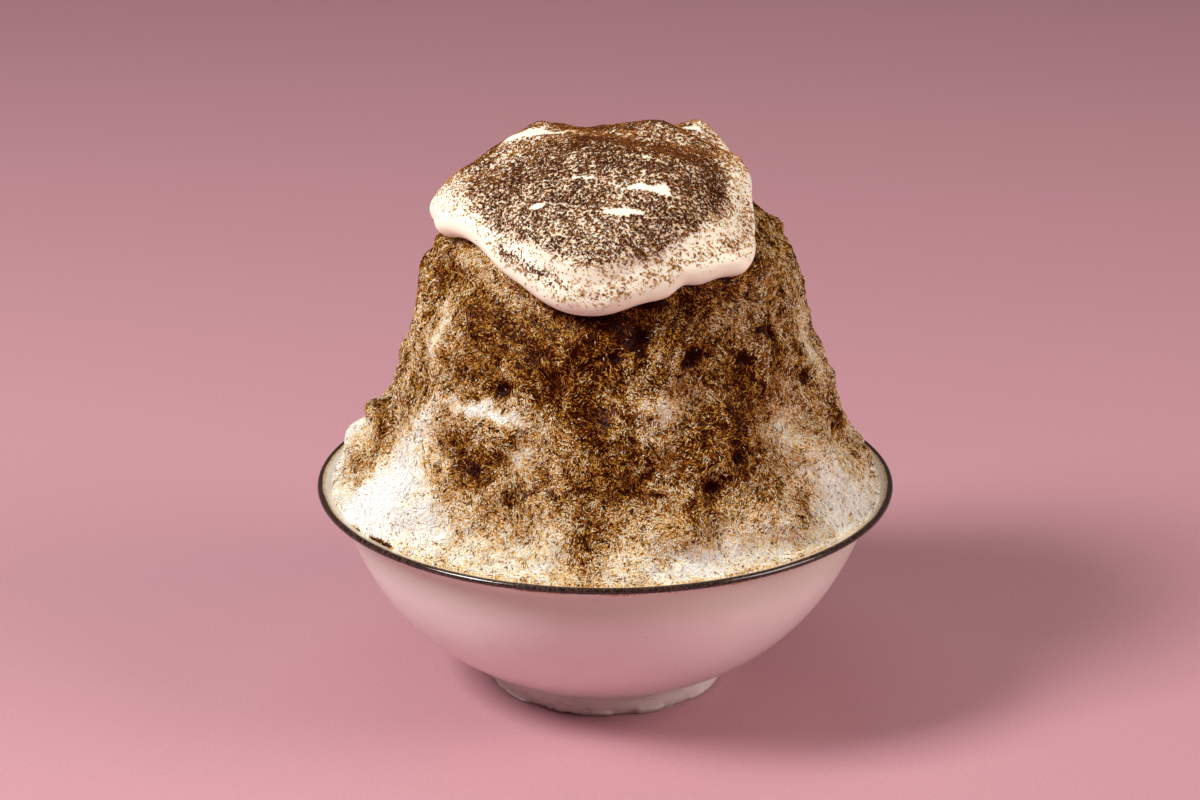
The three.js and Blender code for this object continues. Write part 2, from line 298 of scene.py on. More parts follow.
def addMesh(name, points, triangles, smooth=True):
    mesh = bpy.data.meshes.new(name)
    mesh.vertices.add(len(points))
    mesh.vertices.foreach_set("co", (points * mm).astype(np.float32).ravel())
    mesh.loops.add(triangles.size)
    mesh.loops.foreach_set("vertex_index", triangles.astype(np.int32).ravel())
    mesh.polygons.add(len(triangles))
    mesh.polygons.foreach_set("loop_start", np.arange(0, triangles.size, 3, dtype=np.int32))
    mesh.polygons.foreach_set("use_smooth", np.full(len(triangles), smooth))
    mesh.update(calc_edges=True)
    piece = bpy.data.objects.new(name, mesh)
    bpy.context.scene.collection.objects.link(piece)
    return piece


def closedRings(name, top, rings, bottom):
    # a closed surface: a point, rings of equal count from the top down, and a point
    rows, count = rings.shape[:2]
    points = np.concatenate([top[None], rings.reshape(-1, 3), bottom[None]])
    k = np.arange(count)
    after = (k + 1) % count
    upper = 1 + np.arange(rows - 1)[:, None] * count
    lower = upper + count
    sides = [np.stack(np.broadcast_arrays(upper + k, lower + k, lower + after), -1),
             np.stack(np.broadcast_arrays(upper + k, lower + after, upper + after), -1)]
    last = len(points) - 1
    first = np.stack([np.zeros_like(k), 1 + k, 1 + after], -1)
    end = np.stack([np.full_like(k, last), last - count + after, last - count + k], -1)
    triangles = np.concatenate([first, *(side.reshape(-1, 3) for side in sides), end])
    return addMesh(name, points, triangles)


def addSlivers(name, centres, along, across, length, width, thickness):
    # four-faced slivers: an edge that lies across at one end, and an upright edge at the other
    up = np.cross(along, across)
    half = along * (length / 2)[:, None]
    side, rise = across * (width / 2)[:, None], up * (thickness / 2)[:, None]
    back, front = centres - half, centres + half
    corners = np.stack([back - side, back + side, front - rise, front + rise], 1)
    faces = np.array([(0, 1, 2), (1, 0, 3), (2, 3, 0), (3, 2, 1)])
    triangles = faces[None] + 4 * np.arange(len(centres))[:, None, None]
    return addMesh(name, corners.reshape(-1, 3), triangles.reshape(-1, 3), smooth=False)


def addValues(piece, name, values):
    layer = piece.data.attributes.new(name, "FLOAT", "POINT")
    layer.data.foreach_set("value", np.asarray(values, np.float32).ravel())


# finishes


class Wire:
    # an output socket of a finish; arithmetic on it adds Math nodes
    def __init__(self, finish, socket):
        self.finish, self.socket = finish, socket

    def maths(self, operation, *values):
        return self.finish.node("ShaderNodeMath", {"operation": operation}, dict(enumerate(values)))

    def __add__(self, other):
        return self.maths("ADD", self, other)

    def __sub__(self, other):
        return self.maths("SUBTRACT", self, other)

    def __rsub__(self, other):
        return self.maths("SUBTRACT", other, self)

    def __mul__(self, other):
        return self.maths("MULTIPLY", self, other)

    def __pow__(self, other):
        return self.maths("POWER", self, other)

    __radd__, __rmul__ = __add__, __mul__


class Finish:
    # one material, with a single surface shader that takes plain values and wires
    def __init__(self, name):
        self.material = bpy.data.materials.new(name)
        self.material.use_nodes = True
        self.tree = self.material.node_tree
        self.tree.nodes.clear()

    def node(self, kind, settings=None, values=None, output=0):
        made = self.tree.nodes.new(kind)
        for key, value in (settings or {}).items():
            if key == "stops":
                while len(made.color_ramp.elements) < len(value):
                    made.color_ramp.elements.new(0.5)
                for element, (place, colour) in zip(made.color_ramp.elements, value):
                    element.position, element.color = place, (*colour, 1)
            else:
                setattr(made, key, value)
        for key, value in (values or {}).items():
            if isinstance(value, Wire):
                self.tree.links.new(value.socket, made.inputs[key])
            else:
                made.inputs[key].default_value = value
        return Wire(self, made.outputs[output] if made.outputs else None)

    def place(self):
        return self.node("ShaderNodeTexCoord", output="Object")

    def value(self, name):
        return self.node("ShaderNodeAttribute", {"attribute_name": name}, output="Fac")

    def noise(self, size, detail=3, roughness=0.55, vector=None):
        values = {"Scale": 1 / (size * mm), "Detail": detail, "Roughness": roughness}
        return self.node("ShaderNodeTexNoise", None, {"Vector": vector or self.place(), **values})

    def between(self, value, low, high):
        return self.node("ShaderNodeMapRange", {"interpolation_type": "SMOOTHSTEP"},
                         {"Value": value, "From Min": low, "From Max": high})

    def inBand(self, value, band):
        # 0 at the band's first place and 1 at its second, both in millimetres
        return self.between(value, band[0] * mm, band[1] * mm)

    def ramp(self, value, stops):
        return self.node("ShaderNodeValToRGB", {"stops": stops}, {"Fac": value})

    def mix(self, share, first, second):
        first, second = (c if isinstance(c, Wire) else (*c, 1) for c in (first, second))
        return self.node("ShaderNodeMix", {"data_type": "RGBA"}, {0: share, 6: first, 7: second}, output=2)

    def bump(self, height, distance, strength=1):
        values = {"Distance": distance * mm, "Strength": strength}
        return self.node("ShaderNodeBump", None, {"Height": height, **values})

    def surface(self, **values):
        # names with underscores stand for the shader's own, such as Base_Color for Base Color
        named = {key.replace("_", " "): value for key, value in values.items()}
        colour = named["Base Color"]
        named["Base Color"] = colour if isinstance(colour, Wire) else (*colour, 1)
        shader = self.node("ShaderNodeBsdfPrincipled", None, named)
        self.node("ShaderNodeOutputMaterial", None, {"Surface": shader})
        return self.material


def finishPiece(piece, material, node):
    piece.data.materials.append(material)
    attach(piece, "root")
    if node:
        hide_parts(node)


# the camera, the lights and the floor

view = {
    "lens": 100,
    "aim": (-1.44, 0, 80.96),
    "distance": 921.6,
    "down": 20.2,  # how far the camera looks down, in degrees
    "nearest": 50,
}
lights = {
    # azimuth and elevation of where it stands, its distance and size, its power and colour
    "keyLight": (206, 44, 1300, 420, 23, (1, 0.98, 0.95)),
    "rightLight": (342, 28, 1300, 700, 13, (1, 0.90, 0.83)),
    "topLight": (100, 72, 1300, 900, 2.5, (1, 0.98, 0.96)),
}
studio = {
    "worldColour": (0.86, 0.69, 0.62),
    "worldStrength": 0.16,
    "floorSize": 4000,
    "floorColours": ((0.42, 0.205, 0.245), (0.50, 0.26, 0.30)),
    "floorGrain": 1.1,
}


def makeCamera():
    camera = bpy.data.objects.new("camera", bpy.data.cameras.new("camera"))
    camera.data.lens = view["lens"]
    camera.data.clip_start = view["nearest"] * mm
    down = np.radians(view["down"])
    camera.rotation_euler = (np.pi / 2 - down, 0, 0)
    ahead = Vector((0, np.cos(down), -np.sin(down)))
    camera.location = (Vector(view["aim"]) - view["distance"] * ahead) * mm
    bpy.context.scene.collection.objects.link(camera)
    bpy.context.scene.camera = camera


def makeLights():
    # each lamp stands on a ray from the camera's aim, and faces back along it
    for name, (azimuth, elevation, distance, size, power, colour) in lights.items():
        lamp = bpy.data.objects.new(name, bpy.data.lights.new(name, "AREA"))
        lamp.data.size, lamp.data.energy, lamp.data.color = size * mm, power, colour
        a, e = np.radians((azimuth, elevation))
        toLamp = Vector((np.cos(a) * np.cos(e), np.sin(a) * np.cos(e), np.sin(e)))
        lamp.location = (Vector(view["aim"]) + distance * toLamp) * mm
        lamp.rotation_euler = toLamp.to_track_quat("Z", "Y").to_euler()
        bpy.context.scene.collection.objects.link(lamp)
    world = bpy.data.worlds.new("studio")
    world.use_nodes = True
    background = world.node_tree.nodes["Background"]
    background.inputs["Color"].default_value = (*studio["worldColour"], 1)
    background.inputs["Strength"].default_value = studio["worldStrength"]
    bpy.context.scene.world = world
    bpy.context.scene.view_settings.view_transform = "Standard"


def makeFloor():
    corners = np.array([(-1, -1), (1, -1), (1, 1), (-1, 1)]) * studio["floorSize"]
    floorPoints = np.column_stack([corners, np.zeros(4)])
    floor = addMesh("floor", floorPoints, np.array([(0, 1, 2), (0, 2, 3)]), smooth=False)
    paint = Finish("paleFloor")
    grain = paint.noise(studio["floorGrain"], 2)
    tint, bump = paint.mix(grain, *studio["floorColours"]), paint.bump(grain, 0.05, 0.4)
    floor.data.materials.append(paint.surface(Base_Color=tint, Roughness=0.8, Normal=bump))


makeCamera()
makeLights()
makeFloor()
print("camera, lights and floor are in place")

# the bowl

bowl = {
    "rimRadius": 80,
    "rimHeight": 58.6,
    "footRadius": 33.2,
    "footHeight": 6,
    "footWidth": 4.6,
    "footRound": 0.9,
    "footUpright": (1.6, 5.6),  # the heights between which its outside is upright
    "recessDepth": 3.6,
    "recessCorner": [(-1.2, 0), (-0.3, -0.25)],  # its rounding, from where the ring meets the recess
    "floorHeight": 8.2,
    "innerFloorRadius": 20,
    "wallThickness": (3.4, 2.5),
    "lipThickness": 1.8,
    "wallHandles": [(63.8, 19.1), (70, 43.5)],
    "wallTop": (74.5, 53),
    "flareHandleUnder": (76, 56.2),
    "flareHandleOver": (73.7, 57.3),
    "lipAngles": (-80, 115),
    "segments": 320,
    # how far the wall is out of round, as length, share of the radius and seed, and between which heights
    "outOfRound": (41, 0.0016, 3.3),
    "outOfRoundFrom": (2, 12),
    "outOfRoundUpTo": (48, 56),
    # chips of the foot ring: size and seed of their noise, and how strong the small ones are beside these
    "chips": (8, 17),
    "smallChips": (2.6, 29),
    "smallChipShare": 0.5,
    "chipHeightWeight": 0.3,  # heights count this much in the noise, which draws the chips out upwards
    "chipLevels": (0.05, 0.5),  # the noise where a chip starts, and where it is whole
    "chipHeights": (0.4, 3.2),  # they fade between these
    "chipDepths": (0.004, 0.03),  # the share of the radius that is lost all round, and more in a chip
}
glaze = {
    # colours: a white tinted pink between two tones, the pink being painted bounce light, what it turns to in
    # places, and the bare iron-brown of the rim
    "whites": ((0.74, 0.63, 0.62), (0.84, 0.745, 0.73)),
    "inside": (0.60, 0.57, 0.47),
    "footRing": (0.56, 0.49, 0.46),
    "bareFoot": (0.30, 0.21, 0.17),
    "crawled": (0.34, 0.22, 0.20),
    "speck": (0.30, 0.18, 0.11),
    "halo": (0.44, 0.27, 0.09),
    "irons": ((0.010, 0.004, 0.003), (0.060, 0.028, 0.019)),
    # where each sets in and is whole, as radii or heights
    "rimRadii": (78.35, 78.65),
    "rimHeights": (56.85, 57.2),
    "haloRadii": (77.5, 78.1),
    "haloHeights": (57.3, 57.6),
    "insideSlope": 0.34,  # the inside's limit moves out by this for each millimetre of height
    "insideRadii": (59.6, 58.9),
    "insideHeights": (40, 50),
    "footHeights": (6.8, 5.4),
    "bareHeights": (1.5, 0.7),
    "crawledHeights": (13, 7),
}


def bezier(points, t):
    # repeated blending of neighbouring points, until one is left
    points = [np.array(p, float)[None] for p in points]
    while len(points) > 1:
        points = [a + (b - a) * t[:, None] for a, b in zip(points, points[1:])]
    return points[0]


def arc(centre, radius, fromAngle, toAngle, count):
    # the centre plus the radius times the angle's cosine and sine
    angle = np.radians(np.linspace(fromAngle, toAngle, count))
    return np.array(centre) + radius * np.column_stack([np.cos(angle), np.sin(angle)])


def outerWall(t):
    # the wall's outside, from the foot to the flare: a cubic curve with two handles
    return bezier([(bowl["footRadius"], bowl["footHeight"]), *bowl["wallHandles"], bowl["wallTop"]], t)


def bowlProfile():
    # the bowl's half section: the hollow foot, the wall's curve, the flared lip, and the inside back to the
    # axis; the inner wall is the outer one moved in along its normal by the thickness
    lipRadius = bowl["lipThickness"] / 2
    lipCentre = (bowl["rimRadius"] - lipRadius, bowl["rimHeight"] - lipRadius)
    lip = arc(lipCentre, lipRadius, *bowl["lipAngles"], 14)
    t = np.linspace(0, 1, 40)
    outer = outerWall(t)
    tangent = unit(np.gradient(outer, axis=0))
    thickness = np.interp(t, (0, 1), bowl["wallThickness"])[:, None]
    inner = (outer + np.column_stack([-tangent[:, 1], tangent[:, 0]]) * thickness)[::-1]
    s = np.linspace(0, 1, 12)
    under = bezier([outer[-1], bowl["flareHandleUnder"], lip[0]], s)
    over = bezier([lip[-1], bowl["flareHandleOver"], inner[0]], s)
    footInner, footRound = bowl["footRadius"] - bowl["footWidth"], bowl["footRound"]
    upright = np.linspace(*bowl["footUpright"], 5)
    return np.concatenate([
        np.array(bowl["recessCorner"]) + (footInner, bowl["recessDepth"]),
        arc((footInner + footRound, footRound), footRound, 180, 270, 6),
        arc((bowl["footRadius"] - footRound, footRound), footRound, 270, 360, 6),
        np.column_stack([np.full(5, bowl["footRadius"]), upright]),
        outer, under[1:-1], lip, over[1:-1], inner[:-1], [(bowl["innerFloorRadius"], bowl["floorHeight"])],
    ])


def makeBowl():
    # the profile turned round the axis, as rings
    profile = bowlProfile()[::-1]
    turn = np.linspace(0, 2 * np.pi, bowl["segments"], endpoint=False)
    r, z = profile[:, :1], profile[:, 1:]
    rings = np.stack([r * np.cos(turn), r * np.sin(turn), z + 0 * turn], -1)
    # the wall is thrown by hand: it is out of round by a fraction of a millimetre, and flat where it stands
    height = rings[..., 2]
    onWall = smoothStep(height, *bowl["outOfRoundFrom"]) * (1 - smoothStep(height, *bowl["outOfRoundUpTo"]))
    rings[..., :2] *= (1 + onWall * sineField(rings, *bowl["outOfRound"]))[..., None]
    # the foot ring's outer edge is chipped: where the noise is high, the radius draws in towards the ground
    outside = (r + 0 * turn > bowl["footRadius"] - 1) * (1 - smoothStep(rings[..., 2], *bowl["chipHeights"]))
    taller = rings * (1, 1, bowl["chipHeightWeight"])
    small = bowl["smallChipShare"] * grainField(rings, *bowl["smallChips"])
    chips = smoothStep(grainField(taller, *bowl["chips"]) + small, *bowl["chipLevels"])
    everywhere, inChip = bowl["chipDepths"]
    rings[..., :2] *= (1 - outside * (everywhere + inChip * chips))[..., None]
    top, bottom = np.array([0, 0, bowl["floorHeight"]]), np.array([0, 0, bowl["recessDepth"]])
    return closedRings("bowlBody", top, rings, bottom)


def glazeFinish():
    # each band is cut at a radius or a height that wanders with the noise
    finish = Finish("whiteGlaze")
    place = finish.place()
    x, y, z = (finish.node("ShaderNodeSeparateXYZ", None, {"Vector": place}, output=k) for k in range(3))
    radius = (x * x + y * y) ** 0.5
    wander, fine = finish.noise(9, 3) - 0.5, finish.noise(1.4, 3) - 0.5
    edge = radius + (wander * 0.7 + fine * 0.6) * mm
    onLip = finish.inBand(z + (wander + fine) * 0.6 * mm, glaze["rimHeights"])
    rim = finish.inBand(edge, glaze["rimRadii"]) * onLip
    onTop = finish.inBand(z, glaze["haloHeights"])
    halo = finish.inBand(edge + fine * mm, glaze["haloRadii"]) * onTop
    # the white is tinted pink: painted bounce light from the pink floor
    colour = finish.mix(finish.noise(16, 3), *glaze["whites"])
    # inside, below the lip, the glaze is greyer and greener than on the outside
    inside = finish.inBand(radius - z * glaze["insideSlope"], glaze["insideRadii"])
    inside = inside * finish.inBand(z, glaze["insideHeights"])
    colour = finish.mix(inside * 0.7, colour, glaze["inside"])
    # on the foot ring it is thin and grey, and bare where the bowl stands
    footRing = finish.inBand(z + wander * 2.4 * mm, glaze["footHeights"])
    colour = finish.mix(footRing * 0.45, colour, glaze["footRing"])
    bare = finish.inBand(z + (wander * 3 + fine) * mm, glaze["bareHeights"])
    colour = finish.mix(bare * 0.55, colour, glaze["bareFoot"])
    # where the foot meets the wall it has crawled into short lines
    flat = finish.node("ShaderNodeMapping", None, {"Vector": place, "Scale": (1, 1, 5)})
    lines = finish.between(finish.noise(3.2, 4, 0.6, flat), 0.56, 0.63)
    crawled = lines * finish.inBand(z + wander * 4 * mm, glaze["crawledHeights"])
    colour = finish.mix(crawled * 0.28, colour, glaze["crawled"])
    # a few specks lie where a wide noise is high as well as a fine one
    speck = finish.between(finish.noise(1.5, 1), 0.755, 0.775)
    speck = speck * finish.between(finish.noise(14, 1), 0.54, 0.62)
    colour = finish.mix(speck * 0.6, colour, glaze["speck"])
    colour = finish.mix(halo * 0.75, colour, glaze["halo"])
    iron = finish.mix(finish.between(finish.noise(0.8, 4), 0.4, 0.66), *glaze["irons"])
    colour = finish.mix(rim, colour, iron)
    roughness = 0.2 - rim * 0.07 + finish.noise(6, 3) * 0.08
    height = finish.noise(7, 2) + fine * 0.3 - crawled * 1.2
    return finish.surface(Base_Color=colour, Roughness=roughness, Normal=finish.bump(height, 0.14, 0.4),
                          Coat_Weight=0.1, Coat_Roughness=0.08, IOR=1.5)


bowlBody = makeBowl()
finishPiece(bowlBody, glazeFinish(), "bowl")
print("bowl:", len(bowlBody.data.polygons), "faces")

# the shaved ice

# how much syrup the ice holds: from 0, white, to 1, black-brown
syrup = {
    "heights": (57, 64, 70, 78, 90, 100, 115, 132),
    "levels": (0.14, 0.20, 0.27, 0.39, 0.49, 0.53, 0.57, 0.52),
    "soaked": (0.2, 0.5),  # ice below the first level counts as white, and above the second as soaked
    # size, strength and seed of its clouds, and how much of that strength they have in white ice, and add in
    # soaked ice
    "clouds": [(21, 0.03, 41), (9.5, 0.06, 53), (4.2, 0.08, 67), (2.0, 0.12, 71), (1.1, 0.10, 73)],
    "cloudShares": (0.4, 0.7),
    "cloudHeightWeight": 0.8,  # heights count this much in their noise, which makes them taller than wide
    # stains, and places that are washed out: azimuth, height, half width and half height in millimetres, and
    # strength
    "stains": [
        (200, 122, 5, 4, 0.12), (230, 117, 8, 6, 0.12), (252, 109, 10, 7, 0.16), (271, 120, 8, 4, 0.24),
        (270, 112, 3, 5, 0.14), (306, 112, 7, 6, 0.06), (320, 112, 4, 6, 0.12), (300, 122, 12, 3, 0.08),
        (257, 100, 6, 4, 0.12), (265, 96, 5, 5, 0.22), (304, 94, 5, 8, 0.28), (293, 90, 7, 8, 0.16),
        (304, 84, 4, 4, 0.22), (278, 85, 9, 6, 0.12), (262, 85, 7, 5, 0.10), (206, 97, 4, 6, 0.14),
        (229, 82.5, 6.5, 4.2, 0.26), (234.5, 78.5, 5, 4.5, 0.34), (245, 75.5, 5.5, 3, 0.17),
        (213, 81, 2.6, 4, 0.10), (265.5, 67, 4.4, 11, 0.28), (256, 78, 5, 4, 0.10), (275, 79, 6, 3.6, 0.18),
        (293, 78, 3, 2.4, 0.34), (290, 72, 6, 4, 0.20), (300, 80, 6, 5, 0.16), (311, 75, 4, 3, 0.26),
        (317, 67, 3.6, 4, 0.30), (350, 79, 4, 3.2, 0.42), (345, 86, 4, 5, 0.12), (357, 68, 5, 7, 0.24),
        (190, 74, 3.5, 7, 0.26), (178, 84, 6, 4, 0.16), (189, 65, 3.5, 3, 0.14), (196, 63, 3, 3, 0.14),
        (30, 112, 16, 12, 0.12), (62, 84, 9, 10, 0.22), (92, 108, 14, 12, 0.12), (104, 66, 5, 11, 0.24),
        (128, 84, 10, 8, 0.24), (150, 112, 12, 10, 0.12), (20, 72, 8, 7, 0.22), (78, 96, 7, 8, 0.14),
        (61, 108, 5, 4, 0.24), (52, 101, 6, 3, 0.22), (66, 98, 4, 8, 0.20), (118, 87, 6, 5, 0.22),
        (131, 97, 6, 4, 0.24), (126, 102, 4, 6, 0.18),
    ],
    "washed": [
        (212, 111, 8, 8, 0.36), (190, 106, 6, 16, 0.20), (213, 100, 8, 3, 0.14), (217, 131, 7, 4, 0.30),
        (231, 126.5, 6, 2.6, 0.30), (240, 122.5, 5, 2, 0.24), (220, 95, 6, 1.8, 0.22),
        (228, 94.8, 6, 2.4, 0.34), (238, 94.6, 7, 2.4, 0.36), (245, 92, 5, 2, 0.20),
        (225, 90, 9, 3, 0.20), (212, 86, 7, 9, 0.26),
        (246, 96, 9, 4, 0.16), (282, 98, 7.5, 6.5, 0.32), (281, 101, 3, 2, 0.14), (279, 115, 4, 4, 0.08),
        (259, 90, 4, 3, 0.10), (247, 84, 4.5, 5, 0.28), (252, 90, 6, 4, 0.10), (209, 69, 12, 14, 0.36),
        (225, 67, 9, 7, 0.14), (303, 67, 8, 5, 0.03), (290, 61, 14, 4, 0.05), (330, 74, 12, 9, 0.23),
        (321, 88, 8, 7, 0.32), (313, 104, 3, 3, 0.12), (345, 97, 7, 12, 0.28), (346, 113, 7, 12, 0.26),
        (315, 116, 10, 7, 0.14), (176, 73, 9, 9, 0.16), (340, 64, 8, 6, 0.06), (10, 90, 10, 12, 0.18),
        (45, 64, 18, 7, 0.14), (84, 72, 8, 12, 0.22), (120, 62, 12, 7, 0.14), (142, 74, 9, 10, 0.20),
        (164, 100, 9, 12, 0.14), (98, 98, 9, 4, 0.18), (40, 100, 6, 9, 0.16),
    ],
    "ragged": [(7, 1.6, 103), (2.6, 1.3, 107), (1.2, 0.8, 109)],  # size, shift and seed of what frays them
    # how much darker the ice is in a pit, how ragged that is beside a stain, and where it ends, in pit radii
    "inPits": 0.5,
    "pitRagged": 0.6,
    "pitEnds": (0.5, 1.1),
    # darker spots: size and seed of their noise, where they start and are whole in it, and strength
    "darkSpots": (1.9, 113, 0.66, 0.8, 0.35),
    # a painted shadow along the lip, a dark line in the gap between the ice's end and the glaze: azimuth,
    # half width in degrees, distance from the ice's end, half width, how much more, and how much it wavers
    "shadowLineAtLip": (214, 9, 1.25, 0.3, 1.0, 0.3),
    # the wet ice on the lip at the front: azimuth, half width in degrees, how far in it goes, how much more
    "wetEdge": (275, 60, 2.6, 0.09),
    # painted shade on the ice along the cream's overhanging edge: azimuth and half width in degrees, how far
    # from the edge, how much more and how wide, and the same for the darker gaps in it, with the size and
    # seed of their noise
    "shadeUnderCreamEdge": (284, 40, 0.5, 0.14, 4),
    "shadowGapsUnderCreamEdge": (0.4, 1.6, 3.2, 119),
}
core = {
    "segments": 448,
    "rowsUnderCream": 10,
    "underCream": 4,  # the fine rows start this far under the cream
    "rowsInTheOpen": 196,
    "rowsInTheBowl": 6,
    "gapToBowl": 0.45,
    "gapToFloor": 0.6,
    "riseShare": 0.45,  # the hidden side is moved in from the bowl's outer curve, and up by this share of it
    "syrupOnTop": 0.6,
    "syrupInTheBowl": 0.4,
}
shavings = {
    "count": 182000,
    "seed": 7,
    "fromCrown": 30,
    "underCream": 2.5,  # they start this far under its edge, and end this far short of the lip
    "shortOfLip": 0.8,
    # how mixed the kinds are at one place, in white ice and in brown ice, and the syrup levels of these two
    "spread": (0.04, 0.17),
    "spreadLevels": (0.15, 0.45),
    # by syrup level: the share of flecks that hold more syrup than the ice round them, and that hold less,
    # which in
    # brown ice also stand for glints: painted highlights
    "fleckLevels": (0.0, 0.14, 0.3, 0.6),
    "darkFlecks": (0.03, 0.09, 0.22, 0.34),
    "paleFlecksAndGlints": (0.0, 0.0, 0.12, 0.30),
    "fleckSteps": (0.46, 0.25),  # by how much
    "fleckVaries": (0.65, 1.3),
    "clusters": (2.6, 97),  # the size and the seed of the places where the dark flecks gather
    # how likely a dark fleck is: outside the clusters, how much more in them, and in strands of white ice
    "clusterShares": (0.2, 1.1, 4.5),
    "furthestBelow": 0.22,  # only glints hold less than their place by more than this
    "glints": (0.006, 0.25),  # the share that stays pale wherever it lies, and the most syrup that it holds
    # strands: shavings in a line hold alike much; length, width and seed of the lines, how far they differ
    "strands": (2.0, 0.45, 131, 0.10),
    # the darker ice that shows between the paler shavings is painted shade in the gaps
    "tooPale": (0.06, 0.2),  # they hold less than the ice under them, by this much, and more in dark ice
    "fibres": 0.24,  # the share of long thin ones
    "fibreLength": (0.9, 1.8),
    "fibreWidth": (0.20, 0.30),
    "grainLength": (0.4, 0.9),
    "grainWidth": (0.26, 0.44),
    "thickness": (0.5, 0.8),  # as a share of the width
    "fibreSpread": 24,  # how far they stray from the way that their neighbours lie, in degrees
    "grainSpread": 50,
    "roll": 50,  # and how far they roll about their own length
    "lift": 10,  # how steeply they stand out of the heap
    "height": (0.06, 0.07),  # how far off the surface their middles lie, and how much that varies
    # tresses that are combed one way: azimuth, half width in degrees, height, half height, and the angle off
    # downhill
    "tresses": [(305, 8, 76, 12, -36), (328, 8, 92, 12, 22), (262, 7, 66, 12, 6), (215, 12, 64, 8, -62),
                (246, 10, 92, 8, -58), (282, 8, 112, 8, -34), (300, 8, 100, 9, 18), (96, 10, 84, 16, -20),
                (28, 10, 76, 14, 26), (140, 10, 84, 14, 30)],
    # each kind's colour, its gloss, and the syrup level it starts from: blue fades first, and then green
    "kinds": {
        "clearShavings": ((0.84, 0.83, 0.795), 0.4, -9),
        "creamyShavings": ((0.75, 0.65, 0.44), 0.22, 0.18),
        "goldenShavings": ((0.60, 0.34, 0.065), 0.2, 0.31),
        "amberShavings": ((0.345, 0.127, 0.014), 0.18, 0.45),
        "brownShavings": ((0.137, 0.029, 0.002), 0.05, 0.60),
        "darkShavings": ((0.022, 0.0025, 0.0004), 0.02, 0.75),
    },
    "glow": 0.4,  # how much light goes through them; it falls with the square of the colour's red
}


def stainsAt(azimuth, point):
    # the level by height, plus stains and less washed places, whose outlines are ragged because noise shifts
    # the places where they are looked up; the shifts are handed back too
    z = point[..., 2]
    level = np.interp(z, syrup["heights"], syrup["levels"])
    radius = np.hypot(point[..., 0], point[..., 1])
    ragged = syrup["ragged"]
    sideways, upwards = (sum(shift * grainField(point, size, seed + k) for size, shift, seed in ragged)
                         for k in (0, 1))
    for sign, places in ((1, syrup["stains"]), (-1, syrup["washed"])):
        for at, height, halfWidth, halfHeight, strength in places:
            across = np.radians(turnGap(azimuth, at)) * radius + sideways
            away = np.hypot(across / halfWidth, (z + upwards - height) / halfHeight)
            level = level + sign * strength * bell(away, 1)
    return level, sideways, upwards


def syrupAt(distance, azimuth, point):
    # the stains, and clouds of several sizes that are strongest where there is much syrup; the ice is darker
    # in the pits and in scattered spots, and syrup gathers on the lip; painted shadow darkens a line along
    # the lip at the front left and the ice along the front of the cream's edge
    level, sideways, upwards = stainsAt(azimuth, point)
    z, radius = point[..., 2], np.hypot(point[..., 0], point[..., 1])
    taller = point * (1, 1, syrup["cloudHeightWeight"])
    clouds = sum(strength * grainField(taller, size, seed) for size, strength, seed in syrup["clouds"])
    inWhite, inSoaked = syrup["cloudShares"]
    level = level + clouds * (inWhite + inSoaked * smoothStep(level, *syrup["soaked"]))
    # the ice is darker in and round each pit
    ragged = syrup["pitRagged"]
    for at, height, size, _ in moundPits.values():
        across = np.radians(turnGap(azimuth, at)) * radius + sideways * ragged
        away = np.hypot(across, z + upwards * ragged - height) / size
        level = level + syrup["inPits"] * (1 - smoothStep(away, *syrup["pitEnds"]))
    # soaked ice is darker in scattered spots where a noise is high
    size, seed, start, whole, strength = syrup["darkSpots"]
    darkSpot = smoothStep(grainField(point, size, seed), start, whole)
    level = level + strength * smoothStep(level, *syrup["soaked"]) * darkSpot
    fromEnd = sectionLength - distance
    # a dark line just inside the ice's end at the front left: painted shadow of the gap between the ice and
    # the glaze
    at, halfWidth, place, thin, strength, wavers = syrup["shadowLineAtLip"]
    line = bell(fromEnd - place + wavers * sideways, thin)
    level = level + strength * smoothStep(halfWidth - np.abs(turnGap(azimuth, at)), 0, 2) * line
    at, halfWidth, wide, strength = syrup["wetEdge"]
    level = level + strength * bell(turnGap(azimuth, at), halfWidth) * bell(fromEnd, wide)
    # the ice just below the front of the cream's edge is darker, and more so in gaps where a noise is high:
    # painted shade under the overhang
    at, halfWidth, place, soaked, wide = syrup["shadeUnderCreamEdge"]
    gaps, narrow, size, seed = syrup["shadowGapsUnderCreamEdge"]
    fromEdge = distance - capReach(azimuth) - place
    broken = smoothStep(grainField(point, size, seed), -0.1, 0.3)
    more = soaked * bell(fromEdge, wide) + gaps * broken * bell(fromEdge, narrow)
    return level + bell(turnGap(azimuth, at), halfWidth) * more


def makeIceCore():
    # rows under the cream, rows in the open, then rows down the inside of the bowl, all at even steps
    azimuth = np.linspace(0, 360, core["segments"], endpoint=False)
    start = capReach(azimuth) - core["underCream"]
    share = np.arange(1, core["rowsUnderCream"])[:, None] / core["rowsUnderCream"]
    inner = share * start
    share = np.linspace(0, 1, core["rowsInTheOpen"])[:, None]
    distance = np.concatenate([inner, start + share * (sectionLength - start)])
    shown = icePoint(distance, azimuth + 0 * distance)
    wall = outerWall(np.linspace(1, 0, core["rowsInTheBowl"]))
    inset = bowl["wallThickness"][0] + core["gapToBowl"]
    lowest = bowl["floorHeight"] + core["gapToFloor"]
    turn = np.radians(azimuth)
    r, z = wall[:, :1] - inset, np.maximum(wall[:, 1:] + inset * core["riseShare"], lowest)
    hidden = np.stack([r * np.cos(turn), r * np.sin(turn), z + 0 * turn], -1)
    top, bottom = icePoint(np.zeros(1), np.zeros(1))[0], np.array([0, 0, lowest])
    piece = closedRings("iceCore", top, np.concatenate([shown, hidden]), bottom)
    level = syrupAt(distance, azimuth + 0 * distance, shown)
    buried = np.full(hidden.shape[0] * core["segments"] + 1, core["syrupInTheBowl"])
    addValues(piece, "syrup", np.concatenate([[core["syrupOnTop"]], level.ravel(), buried]))
    return piece


